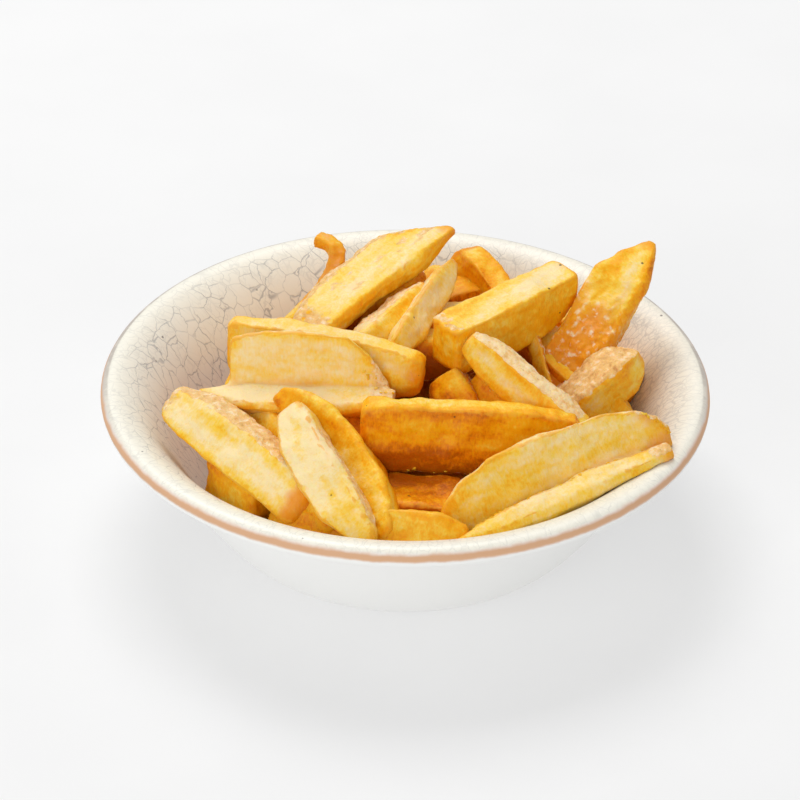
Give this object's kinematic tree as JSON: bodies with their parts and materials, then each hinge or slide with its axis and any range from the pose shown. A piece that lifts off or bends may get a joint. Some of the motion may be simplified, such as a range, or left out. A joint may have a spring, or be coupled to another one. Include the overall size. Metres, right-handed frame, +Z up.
{
  "type": "french fries portion",
  "caption": "Portion of chunky skin-on potato fries, wedges and sticks heaped in a small flared crackle-glazed bowl with a brown-edged lip.",
  "frame": {"origin": "centre of the bowl's flat base, on the surface it stands on", "axes": "+Z up along the bowl's turning axis, +X to the right and +Y away from the viewer of the heap's shown side"},
  "size_m": [0.18, 0.18, 0.0769],
  "materials": {
    "crackle_glaze": "white crackle glaze, brown at the lip's edge",
    "fried_potato": "crisp oiled crust, cream to deep golden"
  },
  "bodies": {
    "root": {"bowl": "crackle_glaze", "fries_heap": "fried_potato"}
  },
  "joints": []
}
